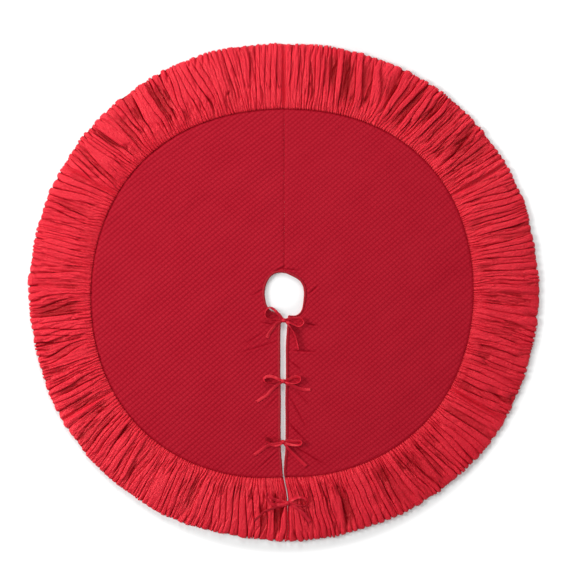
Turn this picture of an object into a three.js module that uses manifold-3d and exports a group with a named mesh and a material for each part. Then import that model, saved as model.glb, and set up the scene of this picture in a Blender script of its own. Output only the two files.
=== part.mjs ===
// A ruffled tree skirt: two quilted half circles seamed together at the back and open at the front,
// bound round the trunk hole and down the slit, edged with a gathered ruffle, and closed by ribbon bows.
// Millimetres, +Z up. It lies face up on the floor, the slit towards -Y, with its origin on the floor
// in the middle of the trunk hole. The right half folds over onto the left about an axis along Y.

import * as THREE from 'three';
import { mergeVertices } from 'three/addons/utils/BufferGeometryUtils.js';
import Module from 'manifold-3d';

const wasm = await Module();
wasm.setup();

// Driving dimensions of the whole skirt
const SKIRT_RADIUS = 762; // to the outermost puffs of the ruffle
const RUFFLE_WIDTH = 190; // from the panel seam to the outer edge
const HOLE_RADIUS = 58; // finished trunk hole, inside its binding
const CLEARANCE = 0.3; // left between pieces that are sewn to each other

// Layers, from the floor up
const LINING_THICKNESS = 0.8;
const BATTING_THICKNESS = 4;
const FACE_THICKNESS = 1;

// Bindings: strips folded over the raw edges of the trunk hole and of the slit
const BINDING_THICKNESS = 0.8;
const BINDING_WIDTH = 7;

// Slit: it hangs open beside the upper bows and closes up towards the ruffle
const SLIT_HALF_GAP = 8;
const SLIT_HALF_GAP_IN_RUFFLE = 1.5;
const SLIT_TAPER = 90; // the length over which it narrows
const SLIT_NARROW_BEFORE_SEAM = 40; // and how far short of the panel seam it has

// Ruffle
const RUFFLE_HEIGHT = 15;
const RUFFLE_TURN_UNDER = 20; // how far its outer edge wraps in beyond the lining
const RUFFLE_STRIPS = ['front', 'middle', 'back']; // joined lengths in each half
const FLUTES_PER_STRIP = 16; // even, so that a puff stands on each axis
const FLUTE_DEPTH = 1.6;

// Bows
const RIBBON_WIDTH = 10;
const RIBBON_THICKNESS = 0.8;
const LOOP_HEIGHT = 7; // a loop's ribbon leans on its edge
const FIRST_BOW_FROM_HOLE = 25;
const LAST_BOW_FROM_EDGE = 137;
const KNOT_RADII = new THREE.Vector3(6.5, 5, 3.6);
// Each bow's loops (the tip, measured from the knot, and how wide it opens) and tails (the end, and how
// far it bends aside on the way), left and then right
const BOWS = [
  { loops: [[-60, 18, 26], [57, -8, 18]], tails: [[-51, -54, 8], [36, -78, -8]] },
  { loops: [[-58, 6, 14], [51, 5, 16]], tails: [[-76, -61, -6], [82, -27, 5]] },
  { loops: [[-48, 10, 16], [54, -4, 10]], tails: [[-86, -39, 5], [68, -72, -4]] },
  { loops: [[-56, 20, 24], [58, 2, 20]], tails: [[-97, -50, 5], [68, -57, -5]] },
];

// Smoothness
const ARC_STEPS = 40;
const HOLE_STEPS = 20;
const CURVE_STEPS = 16;
const KNOT_STEPS = 10;
const STEPS_PER_FLUTE = 2;

// Levels and radii that follow from the sizes above
const LINING_TOP = LINING_THICKNESS;
const BATTING_TOP = LINING_TOP + CLEARANCE + BATTING_THICKNESS;
const FACE_BOTTOM = BATTING_TOP + CLEARANCE;
const FACE_TOP = FACE_BOTTOM + FACE_THICKNESS;
const BINDING_TOP = FACE_TOP + CLEARANCE + BINDING_THICKNESS;
const SEAM_RADIUS = SKIRT_RADIUS - RUFFLE_WIDTH;
const LINING_RADIUS = SKIRT_RADIUS - RUFFLE_TURN_UNDER;
const LAYER_INSET = BINDING_THICKNESS + CLEARANCE; // from a finished edge to the layers in the binding
const LINING_INSET = BINDING_WIDTH + CLEARANCE; // the lining stops where a binding's lower leaf starts
const SLIT_NARROW_AT = SEAM_RADIUS - SLIT_NARROW_BEFORE_SEAM;
const SLIT_BENDS = [SLIT_NARROW_AT - SLIT_TAPER, SLIT_NARROW_AT];

// Half the slit's finished width at a distance from the middle of the hole
function slitHalfGap(distance) {
  const closed = THREE.MathUtils.clamp((distance - SLIT_BENDS[0]) / SLIT_TAPER, 0, 1);
  return THREE.MathUtils.lerp(SLIT_HALF_GAP, SLIT_HALF_GAP_IN_RUFFLE, closed);
}

// Points on a circle about the origin, from one X on its front half to one on its back half
function arcFrontToBack(radius, frontX, backX, steps) {
  const start = Math.asin(frontX / radius);
  const end = Math.PI - Math.asin(backX / radius);
  return Array.from({ length: steps + 1 }, (_, i) => {
    const angle = THREE.MathUtils.lerp(start, end, i / steps);
    return new THREE.Vector2(radius * Math.sin(angle), -radius * Math.cos(angle));
  });
}

// The plan of one layer's right half: a half ring whose front edge follows the slit. It keeps an inset
// from the finished edge as far as the slit is bound, which is up to the panel seam.
function halfRing(innerRadius, outerRadius, slitInset) {
  const boundX = (radius) => slitHalfGap(radius) + slitInset;
  const slitEdge = SLIT_BENDS.map((radius) => new THREE.Vector2(boundX(radius), -radius));
  const reachesRuffle = outerRadius > SEAM_RADIUS;
  if (reachesRuffle) {
    slitEdge.push(new THREE.Vector2(boundX(SEAM_RADIUS), -SEAM_RADIUS));
    slitEdge.push(new THREE.Vector2(slitHalfGap(SEAM_RADIUS), -SEAM_RADIUS));
  }
  const outerX = reachesRuffle ? slitHalfGap(outerRadius) : boundX(outerRadius);
  const backX = CLEARANCE / 2;
  return new THREE.Shape([
    ...slitEdge,
    ...arcFrontToBack(outerRadius, outerX, backX, ARC_STEPS),
    ...arcFrontToBack(innerRadius, boundX(innerRadius), backX, HOLE_STEPS).reverse(),
  ]);
}

// A flat piece of the given plan, from one level up to another
function slab(shape, bottom, top) {
  const geometry = new THREE.ExtrudeGeometry(shape, { depth: top - bottom, bevelEnabled: false });
  return geometry.translate(0, 0, bottom);
}

// A closed solid through a row of rings of points. They hold the outline given flat, anticlockwise
// as seen from the far end of the row.
function loft(rings, flat) {
  const size = flat.length;
  const indices = [];
  for (let i = 0; i + 1 < rings.length; i += 1) {
    for (let j = 0; j < size; j += 1) {
      const next = (j + 1) % size;
      const [a, b] = [i * size + j, i * size + next];
      indices.push(a, b, b + size, a, b + size, a + size);
    }
  }
  const last = (rings.length - 1) * size;
  for (const [a, b, c] of THREE.ShapeUtils.triangulateShape(flat, [])) {
    indices.push(c, b, a, last + a, last + b, last + c);
  }
  const geometry = new THREE.BufferGeometry().setFromPoints(rings.flat());
  geometry.setIndex(indices);
  return geometry;
}

// A binding's section: a U lying on its side, open away from the finished edge at 0
function bindingSection() {
  const inner = BINDING_THICKNESS;
  return [
    [0, 0], [BINDING_WIDTH, 0], [BINDING_WIDTH, BINDING_THICKNESS], [inner, BINDING_THICKNESS],
    [inner, BINDING_TOP - BINDING_THICKNESS], [BINDING_WIDTH, BINDING_TOP - BINDING_THICKNESS],
    [BINDING_WIDTH, BINDING_TOP], [0, BINDING_TOP],
  ].map(([across, up]) => new THREE.Vector2(across, up));
}

// Down the slit's right edge, from beside the hole's binding to the panel seam
function slitBinding() {
  const section = bindingSection();
  const start = HOLE_RADIUS + BINDING_WIDTH + CLEARANCE;
  const stations = [start, ...SLIT_BENDS, SEAM_RADIUS - CLEARANCE];
  const rings = stations.map((distance) =>
    section.map((p) => new THREE.Vector3(slitHalfGap(distance) + p.x, -distance, p.y)));
  return loft(rings, section);
}

// Round the right half of the trunk hole, from the slit to the back seam
function holeBinding() {
  const section = bindingSection();
  const lines = section.map((p) => {
    const radius = HOLE_RADIUS + p.x;
    const arc = arcFrontToBack(radius, slitHalfGap(radius), CLEARANCE / 2, HOLE_STEPS);
    return arc.map((point) => new THREE.Vector3(point.x, point.y, p.y));
  });
  const rings = lines[0].map((_, i) => lines.map((line) => line[i]));
  return loft(rings.reverse(), section);
}

// The ruffle's section, radius and height: up from the seam, over the puff, and round under the edge
function ruffleSection() {
  const innerRadius = SEAM_RADIUS + CLEARANCE;
  const turnedRadius = LINING_RADIUS + CLEARANCE;
  const floorOfPuff = LINING_TOP + CLEARANCE;
  const across = (share) => SEAM_RADIUS + share * RUFFLE_WIDTH;
  return [
    [innerRadius, floorOfPuff, 0], [turnedRadius, floorOfPuff, 0], [turnedRadius, 0, 0],
    [across(0.985), 0, 0], [SKIRT_RADIUS, 0.4 * RUFFLE_HEIGHT, 1], [across(0.95), 0.78 * RUFFLE_HEIGHT, 1],
    [across(0.82), 0.97 * RUFFLE_HEIGHT, 1], [across(0.5), RUFFLE_HEIGHT, 1],
    [across(0.18), 0.92 * RUFFLE_HEIGHT, 1], [across(0.06), 0.68 * RUFFLE_HEIGHT, 1],
    [innerRadius, FACE_TOP, 0],
  ];
}

// One joined length of the right half's ruffle, counted from the slit; the flutes sink its puffed face
function ruffleStrip(strip) {
  const section = ruffleSection();
  const count = RUFFLE_STRIPS.length;
  const steps = FLUTES_PER_STRIP * STEPS_PER_FLUTE;
  const rings = Array.from({ length: steps + 1 }, (_, i) => section.map(([radius, height, puffed]) => {
    const front = strip === 0 ? slitHalfGap(radius) / radius : CLEARANCE / 2 / radius;
    const start = (Math.PI * strip) / count + front;
    const end = (Math.PI * (strip + 1)) / count - CLEARANCE / 2 / radius;
    const angle = THREE.MathUtils.lerp(start, end, i / steps);
    const sunk = puffed * FLUTE_DEPTH * (1 - Math.cos((2 * Math.PI * i) / STEPS_PER_FLUTE)) / 2;
    const r = height < RUFFLE_HEIGHT / 2 ? radius - sunk : radius;
    return new THREE.Vector3(r * Math.sin(angle), -r * Math.cos(angle), height - sunk);
  }));
  return loft(rings.reverse(), section.map(([radius, height]) => new THREE.Vector2(radius, height)));
}

// The plan of a strip of ribbon along a line of points
function stripPlan(points, width) {
  const sides = points.map((point, i) => {
    const along = points[Math.min(i + 1, points.length - 1)].clone().sub(points[Math.max(i - 1, 0)]);
    const aside = new THREE.Vector2(-along.y, along.x).setLength(width / 2);
    return [point.clone().add(aside), point.clone().sub(aside)];
  });
  return new THREE.Shape([...sides.map((s) => s[0]), ...sides.map((s) => s[1]).reverse()]);
}

// A loop's line: out from the knot's side to its tip and back, widest half way along
function loopLine(side, [tipX, tipY, opening]) {
  const tip = new THREE.Vector2(tipX, tipY);
  const aside = new THREE.Vector2(-tipY, tipX).setLength(opening / 2);
  return Array.from({ length: CURVE_STEPS + 1 }, (_, i) => {
    const turn = (Math.PI * (i + 0.5)) / (CURVE_STEPS + 1);
    const swing = aside.clone().multiplyScalar(Math.sin(2 * turn));
    return tip.clone().multiplyScalar(Math.sin(turn)).add(swing).add(new THREE.Vector2(side * KNOT_RADII.x, 0));
  });
}

// A tail's line: from the knot's side to its cut end, bending aside on the way
function tailLine(side, [endX, endY, bend]) {
  const start = new THREE.Vector2(side * KNOT_RADII.x, 0);
  const end = new THREE.Vector2(endX, endY);
  const along = end.clone().sub(start);
  const aside = new THREE.Vector2(-along.y, along.x).setLength(2 * bend);
  const middle = start.clone().lerp(end, 0.5).add(aside);
  return new THREE.QuadraticBezierCurve(start, middle, end).getPoints(CURVE_STEPS / 2);
}

// A geometry as a solid for joining and cutting
function solid(geometry) {
  geometry.deleteAttribute('normal');
  geometry.deleteAttribute('uv');
  const merged = mergeVertices(geometry, 1e-4);
  return new wasm.Manifold(new wasm.Mesh({
    numProp: 3,
    vertProperties: merged.attributes.position.array,
    triVerts: Uint32Array.from(merged.index.array),
  }));
}

function geometryOf(body) {
  const { vertProperties, triVerts } = body.getMesh();
  const geometry = new THREE.BufferGeometry();
  geometry.setAttribute('position', new THREE.BufferAttribute(vertProperties, 3));
  geometry.setIndex(new THREE.BufferAttribute(triVerts, 1));
  return geometry;
}

// The knot in the middle of a bow, grown all round by a margin
function knot(margin) {
  const ball = new THREE.SphereGeometry(1, KNOT_STEPS, KNOT_STEPS / 2);
  ball.scale(KNOT_RADII.x + margin, KNOT_RADII.y + margin, KNOT_RADII.z + margin);
  return solid(ball.translate(0, 0, KNOT_RADII.z));
}

// One ribbon of a bow, its knot over the origin: sewn end, loop and tail. The left one makes the knot.
function ribbon(side, loop, tail, sewnX) {
  const sewnEnd = [new THREE.Vector2(side * sewnX, 0), new THREE.Vector2(side * KNOT_RADII.x / 2, 0)];
  const collar = [new THREE.Vector2(side * KNOT_RADII.x / 2, 0), new THREE.Vector2(side * 1.6 * KNOT_RADII.x, 0)];
  const parts = [
    slab(stripPlan(loopLine(side, loop), RIBBON_THICKNESS), 0, LOOP_HEIGHT),
    slab(stripPlan(tailLine(side, tail), RIBBON_WIDTH), 0, RIBBON_THICKNESS),
    slab(stripPlan(sewnEnd, RIBBON_WIDTH), 0, RIBBON_THICKNESS),
    slab(stripPlan(collar, KNOT_RADII.y), 0, KNOT_RADII.z),
  ].map(solid).reduce((body, part) => body.add(part));
  return geometryOf(side < 0 ? parts.add(knot(0)) : parts.subtract(knot(CLEARANCE)));
}

// A bow lies on the ruffle if its tails reach past the panel seam, and on the bindings if not
function bowLevel(distance, bow) {
  const reach = Math.max(...bow.tails.map((tail) => -tail[1])) + RIBBON_WIDTH;
  return (distance + reach > SEAM_RADIUS ? RUFFLE_HEIGHT : BINDING_TOP) + CLEARANCE;
}

function material(color, roughness) {
  return new THREE.MeshStandardMaterial({ color, roughness, metalness: 0 });
}

const QUILTED_SATIN = material(0xb01b2d, 0.55);
const RUFFLE_SATIN = material(0xcf2b39, 0.42);
const RIBBON_SATIN = material(0xc9283a, 0.4);
const BINDING_SATIN = material(0xa81c2c, 0.5);
const LINING_COTTON = material(0x9c1626, 0.85);
const BATTING_FIBRE = material(0xf1efe9, 0.95);

const treeSkirt = new THREE.Group();

function place(name, geometry, surface, mirrored) {
  const mesh = new THREE.Mesh(geometry, surface);
  mesh.name = name;
  if (mirrored) {
    geometry.scale(-1, 1, 1);
    const order = geometry.index ? geometry.index.array : geometry.attributes.position.array;
    const step = geometry.index ? 1 : 3;
    for (let i = 0; i < order.length; i += 3 * step) {
      for (let k = 0; k < step; k += 1) {
        [order[i + k], order[i + step + k]] = [order[i + step + k], order[i + k]];
      }
    }
  }
  treeSkirt.add(mesh);
  return mesh;
}

const LAYERS = {
  lining: () => slab(halfRing(HOLE_RADIUS + LINING_INSET, LINING_RADIUS, LINING_INSET), 0, LINING_TOP),
  batting: () => slab(halfRing(HOLE_RADIUS + LAYER_INSET, SEAM_RADIUS - CLEARANCE, LAYER_INSET),
    LINING_TOP + CLEARANCE, BATTING_TOP),
  quilted_face: () => slab(halfRing(HOLE_RADIUS + LAYER_INSET, SEAM_RADIUS, LAYER_INSET), FACE_BOTTOM, FACE_TOP),
  hole_binding: holeBinding,
  slit_binding: slitBinding,
};
const LAYER_SURFACES = {
  lining: LINING_COTTON,
  batting: BATTING_FIBRE,
  quilted_face: QUILTED_SATIN,
  hole_binding: BINDING_SATIN,
  slit_binding: BINDING_SATIN,
};

for (const [sideName, side] of [['left', -1], ['right', 1]]) {
  for (const [layer, build] of Object.entries(LAYERS)) {
    place(`${layer}_${sideName}`, build(), LAYER_SURFACES[layer], side < 0);
  }
  RUFFLE_STRIPS.forEach((where, strip) => {
    place(`ruffle_${sideName}_${where}`, ruffleStrip(strip), RUFFLE_SATIN, side < 0);
  });
}

const firstBow = HOLE_RADIUS + FIRST_BOW_FROM_HOLE;
const bowSpacing = (SKIRT_RADIUS - LAST_BOW_FROM_EDGE - firstBow) / (BOWS.length - 1);
BOWS.forEach((bow, i) => {
  const distance = firstBow + i * bowSpacing;
  const sewnX = slitHalfGap(distance) + BINDING_WIDTH;
  ['left', 'right'].forEach((sideName, k) => {
    const geometry = ribbon(k === 0 ? -1 : 1, bow.loops[k], bow.tails[k], sewnX);
    const mesh = place(`ribbon_${sideName}_${i + 1}`, geometry, RIBBON_SATIN, false);
    mesh.position.set(0, -distance, bowLevel(distance, bow));
  });
});

export default treeSkirt;
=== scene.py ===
"""A ruffled, quilted tree skirt lying flat on a white floor, seen from straight above.

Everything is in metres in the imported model's frame: the floor is z = 0, the middle of the trunk hole
is the origin, the slit runs towards -Y and the right half folds over the left about an axis along Y.
Plans are first drawn round, as the skirt is cut, and then moved to how it lies by laid().
"""
import math

import bpy
import numpy as np
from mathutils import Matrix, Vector
from mathutils.bvhtree import BVHTree


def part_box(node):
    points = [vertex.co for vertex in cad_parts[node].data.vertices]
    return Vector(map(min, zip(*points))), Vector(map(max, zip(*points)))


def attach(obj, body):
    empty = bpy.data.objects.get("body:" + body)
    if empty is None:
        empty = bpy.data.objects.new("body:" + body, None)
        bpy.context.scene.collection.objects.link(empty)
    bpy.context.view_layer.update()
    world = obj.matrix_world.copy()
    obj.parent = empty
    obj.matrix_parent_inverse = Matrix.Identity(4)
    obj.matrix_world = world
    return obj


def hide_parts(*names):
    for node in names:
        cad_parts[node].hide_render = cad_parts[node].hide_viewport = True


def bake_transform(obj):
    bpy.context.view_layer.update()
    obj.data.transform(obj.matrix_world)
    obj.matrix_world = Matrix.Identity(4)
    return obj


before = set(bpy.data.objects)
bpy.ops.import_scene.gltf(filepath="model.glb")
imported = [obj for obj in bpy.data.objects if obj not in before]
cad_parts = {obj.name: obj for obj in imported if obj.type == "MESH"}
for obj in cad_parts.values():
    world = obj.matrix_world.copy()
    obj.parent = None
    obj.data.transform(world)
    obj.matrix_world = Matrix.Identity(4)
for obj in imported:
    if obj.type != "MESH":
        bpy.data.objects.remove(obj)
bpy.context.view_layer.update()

# ---------------------------------------------------------------- sizes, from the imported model
MM = 0.001
SIDES = {"left": -1, "right": 1}
FACE_LOW, FACE_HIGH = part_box("quilted_face_left")
SKIRT_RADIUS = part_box("ruffle_left_middle")[0].x * -1
SEAM_RADIUS = FACE_HIGH.y
LINING_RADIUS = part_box("lining_left")[1].y
BINDING_WIDTH = 7 * MM
HOLE_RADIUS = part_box("hole_binding_left")[1].y - BINDING_WIDTH
BINDING_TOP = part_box("hole_binding_left")[1].z
BATTING_LOW, BATTING_HIGH = (corner.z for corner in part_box("batting_left"))
RUFFLE_WIDTH = SKIRT_RADIUS - SEAM_RADIUS
BACK_GAP = 0.1 * MM

# Fold: sheets are drawn finer inside this distance of the middle, where the cloth bends between the halves
FOLD_REACH = 34 * MM

# Quilting: two families of stitched lines, by the direction across them, and the distance between them
QUILT_ANGLES = (math.radians(-50), math.radians(46))
QUILT_PITCH = 12.1 * MM
QUILT_STEPS = 5
QUILT_VALLEY = 4.9 * MM
QUILT_CREST = 6.0 * MM

# Slit: half its width at distances from the middle, both in millimetres, and its rounded top corners
SLIT_HALVES = [(60, 9.6), (110, 9.5), (170, 7.8), (240, 8.4), (325, 6.5), (412, 7.5), (488, 6.8), (532, 2.8),
               (557, 1.5), (613, 1.4), (636, 1.5), (650, 1.3), (668, 0.2), (762, 0.2)]
CORNER_RADIUS = 6 * MM


# ---------------------------------------------------------------- small maths
def smooth(x, low=0.0, high=1.0):
    """0 below low and 1 above high, with a smooth step between them."""
    t = np.clip((np.asarray(x, float) - low) / (high - low), 0, 1)
    return t * t * (3 - 2 * t)


def mix(a, b, share):
    return a + (b - a) * share


def lattice_value(ix, iy, seed):
    """A fixed pseudo-random number from -1 to 1 for each whole-number point."""
    n = (ix * 374761393 + iy * 668265263 + seed * 2246822519) & 0xFFFFFFFF
    n = ((n ^ (n >> 13)) * 1274126177) & 0xFFFFFFFF
    n = ((n ^ (n >> 15)) * 2654435761) & 0xFFFFFFFF
    return ((n >> 8) & 0xFFFF) / 32767.5 - 1


def noise(x, y, seed):
    """Smooth noise from -1 to 1 over the plane, one bump a unit across."""
    x, y = np.broadcast_arrays(np.asarray(x, float), np.asarray(y, float))
    ix, iy = np.floor(x).astype(np.int64), np.floor(y).astype(np.int64)
    fx, fy = (f * f * f * (f * (f * 6 - 15) + 10) for f in (x - ix, y - iy))
    low = mix(lattice_value(ix, iy, seed), lattice_value(ix + 1, iy, seed), fx)
    high = mix(lattice_value(ix, iy + 1, seed), lattice_value(ix + 1, iy + 1, seed), fx)
    return mix(low, high, fy)


def bell(x, width):
    """1 at 0, falling off smoothly over the width on both sides."""
    return np.exp(-((x / width) ** 2))


def ridged(turn, power):
    """Rounded ridges a turn apart with sharp valleys between them, from 0 to 1."""
    return np.abs(np.sin(math.pi * turn)) ** power


def plateau(turn):
    """Flat-topped ridges a turn apart with narrow valleys between them, from 0 to 1."""
    return np.tanh(2.4 * ridged(turn, 0.85)) / math.tanh(2.4)


def lengths_along(points):
    """The distance from the first point to each, along the line through them."""
    return np.concatenate([[0], np.cumsum(np.linalg.norm(np.diff(points, axis=0), axis=1))])


def soft_kernel(count):
    """Weights for a running average, adding up to 1."""
    kernel = np.hanning(count)
    return kernel / kernel.sum()


# ---------------------------------------------------------------- how the skirt lies
def laid_seam_radius(angle):
    """The panel seam's distance from the middle as the skirt lies: a little square, and in at the slit."""
    wave = (566.8 - 6.2 * np.cos(angle) - 4.4 * np.sin(angle) + 9.5 * np.cos(2 * angle)
            + 4.2 * np.sin(2 * angle) - 8.0 * np.cos(4 * angle))
    from_slit = np.abs(np.angle(np.exp(1j * (angle + math.pi / 2))))
    return MM * (wave - 5.0 * bell(from_slit, 0.14))


def laid_edge_radius(angle):
    """The outer edge's distance from the middle as the skirt lies."""
    turn = np.stack([np.cos(angle), np.sin(angle)])
    wander = 2.4 * noise(turn[0] * 5, turn[1] * 5, 71) + 1.9 * noise(turn[0] * 23, turn[1] * 23, 72)
    return MM * (754.7 - 0.6 * turn[0] + 2.0 * turn[1] + 9.1 * np.cos(2 * angle) + 2.4 * np.sin(2 * angle)
                 - 4.4 * np.cos(4 * angle) + wander)


def hole_pull(angle):
    """How far the trunk hole's edge lies outside its cut circle, mostly beside the first bow."""
    def bulge(size, middle, spread):
        away = np.degrees(np.abs(np.angle(np.exp(1j * (angle - math.radians(middle))))))
        return size * bell(away, spread)
    return MM * (bulge(4.6, 122, 25) - bulge(4.5, 64, 22) + bulge(19, -58, 27) + bulge(9, -128, 26))


def laid(x, y):
    """Moves plan points from the round cut to how the skirt lies."""
    x, y = np.asarray(x, float), np.asarray(y, float)
    radius, angle = np.hypot(x, y), np.arctan2(y, x)
    seam, edge = laid_seam_radius(angle), laid_edge_radius(angle)
    share = np.clip((radius - HOLE_RADIUS) / (SEAM_RADIUS - HOLE_RADIUS), 0, 1)
    inside = radius * mix(1, seam / SEAM_RADIUS, smooth(share))
    outside = mix(seam, edge, (radius - SEAM_RADIUS) / RUFFLE_WIDTH)
    new = np.where(radius < SEAM_RADIUS, inside, outside)
    new = new + hole_pull(angle) * (1 - smooth(radius, HOLE_RADIUS - 4 * MM, HOLE_RADIUS + 38 * MM))
    x, y = new * np.cos(angle), new * np.sin(angle)
    drift = MM * (13.6 * smooth(-y, 0.525, 0.62) - 3.6 * smooth(-y, 0.06, 0.16))
    drift = drift + 1.8 * MM * noise(y / 0.028, 0.5, 81) * smooth(-y, 0.60, 0.66)
    return x + drift * bell(x, 0.1), y


def slit_middle(y):
    """The slit's middle as (x, y), as it lies, at a given y."""
    distance = np.linspace(HOLE_RADIUS, SKIRT_RADIUS, 300)
    line_x, line_y = laid(np.zeros(300), -distance)
    return float(np.interp(-y, -line_y, line_x)), y


def slit_half(distance):
    """Half the slit's width at a distance from the middle, before it is laid."""
    places, halves = np.array(SLIT_HALVES).T * MM
    spread = np.linspace(-12 * MM, 12 * MM, 7)
    return sum(np.interp(np.asarray(distance, float) + k, places, halves) for k in spread) / len(spread)


def depth_from_opening(x, y):
    """How far a point of the right half lies inside the cloth from the trunk hole's and the slit's edge."""
    from_hole = np.hypot(x, y) - HOLE_RADIUS
    from_slit = np.where(y < 0, x - slit_half(-y), 1.0)
    corner = CORNER_RADIUS - np.hypot(np.maximum(CORNER_RADIUS - from_hole, 0),
                                      np.maximum(CORNER_RADIUS - from_slit, 0))
    return np.where((from_hole < CORNER_RADIUS) & (from_slit < CORNER_RADIUS), corner,
                    np.minimum(from_hole, from_slit))


# ---------------------------------------------------------------- meshes
def add_layer(mesh, name, pairs):
    """Stores two numbers for each point as a UV layer."""
    loops = np.zeros(len(mesh.loops), np.int32)
    mesh.loops.foreach_get("vertex_index", loops)
    layer = mesh.uv_layers.new(name=name)
    layer.data.foreach_set("uv", np.asarray(pairs, float)[loops].astype(np.float32).ravel())


def make_piece(name, points, faces, material, uv):
    """A mesh object from points and faces; uv gives each point its place on the flat cloth."""
    mesh = bpy.data.meshes.new(name)
    mesh.from_pydata(np.asarray(points, float).tolist(), [], [list(map(int, f)) for f in faces])
    add_layer(mesh, "cloth", uv)
    mesh.materials.append(material)
    mesh.polygons.foreach_set("use_smooth", np.full(len(mesh.polygons), True))
    mesh.update()
    piece = bpy.data.objects.new(name, mesh)
    bpy.context.scene.collection.objects.link(piece)
    return piece


def add_shade_mask(piece, lit_share):
    """Stores each point's share of light, from 0 in full painted shade to 1 unshaded, for the material to
    darken folds, creases and seams with painted shade.
    """
    add_layer(piece.data, "shade_mask", np.stack([lit_share, np.zeros(len(lit_share))], -1))


def grid_faces(rows, columns, closed=False):
    """Quads over a grid of points stored row by row; closed joins each row's end to its start."""
    i, j = np.meshgrid(np.arange(rows - 1), np.arange(columns if closed else columns - 1), indexing="ij")
    k = (j + 1) % columns
    return np.stack([i * columns + j, i * columns + k, (i + 1) * columns + k, (i + 1) * columns + j],
                    -1).reshape(-1, 4)


def closed_tube_faces(rows, size):
    """Quads round a tube of rings of so many points, stored ring by ring, and a cap at each end."""
    last = (rows - 1) * size
    caps = [list(range(size))[::-1], [last + k for k in range(size)]]
    return [list(map(int, f)) for f in grid_faces(rows, size, closed=True)] + caps


def bend_at_fold(piece):
    """Bakes the piece's placement into its points."""
    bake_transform(piece)


def finer_at_fold(x):
    """Moves evenly spaced places across the fold closer together near it, where cloth bends."""
    return np.sign(x) * (np.abs(x) - 0.6 * FOLD_REACH * (1 - np.exp(-np.abs(x) / FOLD_REACH)))


def cut_sheet(depth, step, angles, low, high, spacing=None):
    """A quad mesh over the plan where depth(x, y) is above 0, on a lattice across the two angles.

    spacing, if given, moves the lattice's first coordinate. Returns points and faces; the points on its
    outline are moved onto it."""
    basis = np.array([[math.cos(a), math.sin(a)] for a in angles])
    corners = np.array([[x, y] for x in (low[0], high[0]) for y in (low[1], high[1])]) @ basis.T
    axes = [np.arange(math.floor(c.min() / step), math.ceil(c.max() / step) + 1) for c in corners.T]
    u, v = np.meshgrid(*axes, indexing="ij")
    plan = np.stack([u * step, v * step], -1) @ np.linalg.inv(basis).T
    if spacing is not None:
        plan[..., 0] = spacing(plan[..., 0])
    inside = depth(plan[..., 0], plan[..., 1]) > -0.6 * step
    cells = inside[:-1, :-1] & inside[1:, :-1] & inside[1:, 1:] & inside[:-1, 1:]
    index = np.arange(inside.size).reshape(inside.shape)
    faces = np.stack([index[:-1, :-1][cells], index[1:, :-1][cells], index[1:, 1:][cells],
                      index[:-1, 1:][cells]], -1)
    uses = np.bincount(faces.ravel(), minlength=inside.size)
    used = np.flatnonzero(uses)
    renumber = np.full(inside.size, -1)
    renumber[used] = np.arange(len(used))
    points = plan.reshape(-1, 2)[used]
    rim = uses[used] < 4
    for _ in range(4):
        x, y = points[rim].T
        nudge = 1e-5
        here = depth(x, y)
        slope = np.stack([depth(x + nudge, y) - depth(x - nudge, y),
                          depth(x, y + nudge) - depth(x, y - nudge)], -1) / (2 * nudge)
        slope /= np.maximum(np.linalg.norm(slope, axis=1, keepdims=True), 0.3)
        points[rim] -= slope * here[:, None]
    return points, renumber[faces]


# ---------------------------------------------------------------- materials
SHEEN_TINT = (1.0, 0.2, 0.25, 1)
STITCH_LENGTH = 2.6 * MM


class Surface:
    """A material's nodes. Each call adds a node, fed by sockets or plain values, and returns its output."""

    def __init__(self, name):
        self.material = bpy.data.materials.new(name)
        self.material.use_nodes = True
        self.nodes = self.material.node_tree.nodes
        self.links = self.material.node_tree.links
        self.shader = self.nodes["Principled BSDF"]

    def feed(self, owner, values):
        """Joins or sets a node's inputs, by name or number."""
        for key, value in values.items():
            if isinstance(value, bpy.types.NodeSocket):
                self.links.new(value, owner.inputs[key])
            else:
                owner.inputs[key].default_value = value

    def add(self, kind, values, output=0, **settings):
        made = self.nodes.new(f"ShaderNode{kind}")
        for key, setting in settings.items():
            setattr(made, key, setting)
        self.feed(made, values)
        return made.outputs[output]

    def math(self, operation, *values):
        return self.add("Math", dict(enumerate(values)), operation=operation)

    def blend(self, first, share, second):
        """Two values added, the first times its share and the second times the rest."""
        return self.math("ADD", self.math("MULTIPLY", first, share), self.math("MULTIPLY", second, 1 - share))

    def uv(self, name):
        return self.add("UVMap", {}, uv_map=name)

    def part(self, vector, axis):
        return self.add("SeparateXYZ", {0: vector}, output=axis)

    def stretched(self, vector, scale):
        return self.add("Mapping", {"Vector": vector, "Scale": scale})

    def noise(self, vector, scale, detail=2.0, roughness=0.5):
        return self.add("TexNoise", {"Vector": vector, "Scale": scale, "Detail": detail,
                                     "Roughness": roughness})

    def bump(self, height, distance, strength, below=None):
        values = {"Height": height, "Distance": distance, "Strength": strength}
        if below is not None:
            values["Normal"] = below
        return self.add("Bump", values)

    def ramp(self, factor, stops):
        """A colour ramp over factor with (place, (r, g, b)) stops."""
        made = self.nodes.new("ShaderNodeValToRGB")
        elements = made.color_ramp.elements
        while len(elements) < len(stops):
            elements.new(0.5)
        for element, (place, colour) in zip(elements, stops):
            element.position = place
            element.color = (*colour, 1)
        self.feed(made, {0: factor})
        return made.outputs[0]

    def weave(self, cloth, threads):
        """Crossing threads as a height, over cloth coordinates in metres, with so many threads a metre."""
        turns = 2 * math.pi * threads
        waves = [self.math("SINE", self.math("MULTIPLY", self.part(cloth, axis), turns)) for axis in (0, 1)]
        return self.math("MULTIPLY", *waves)

    def fold_shaded(self, colour, folds):
        """The colour, darkened towards the folds' colour as painted shade where the stored share of light is
        low.
        """
        shade_mask = self.part(self.uv("shade_mask"), 0)
        return self.add("Mix", {0: shade_mask, 6: (*folds, 1), 7: colour}, output=2, data_type="RGBA")


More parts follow.
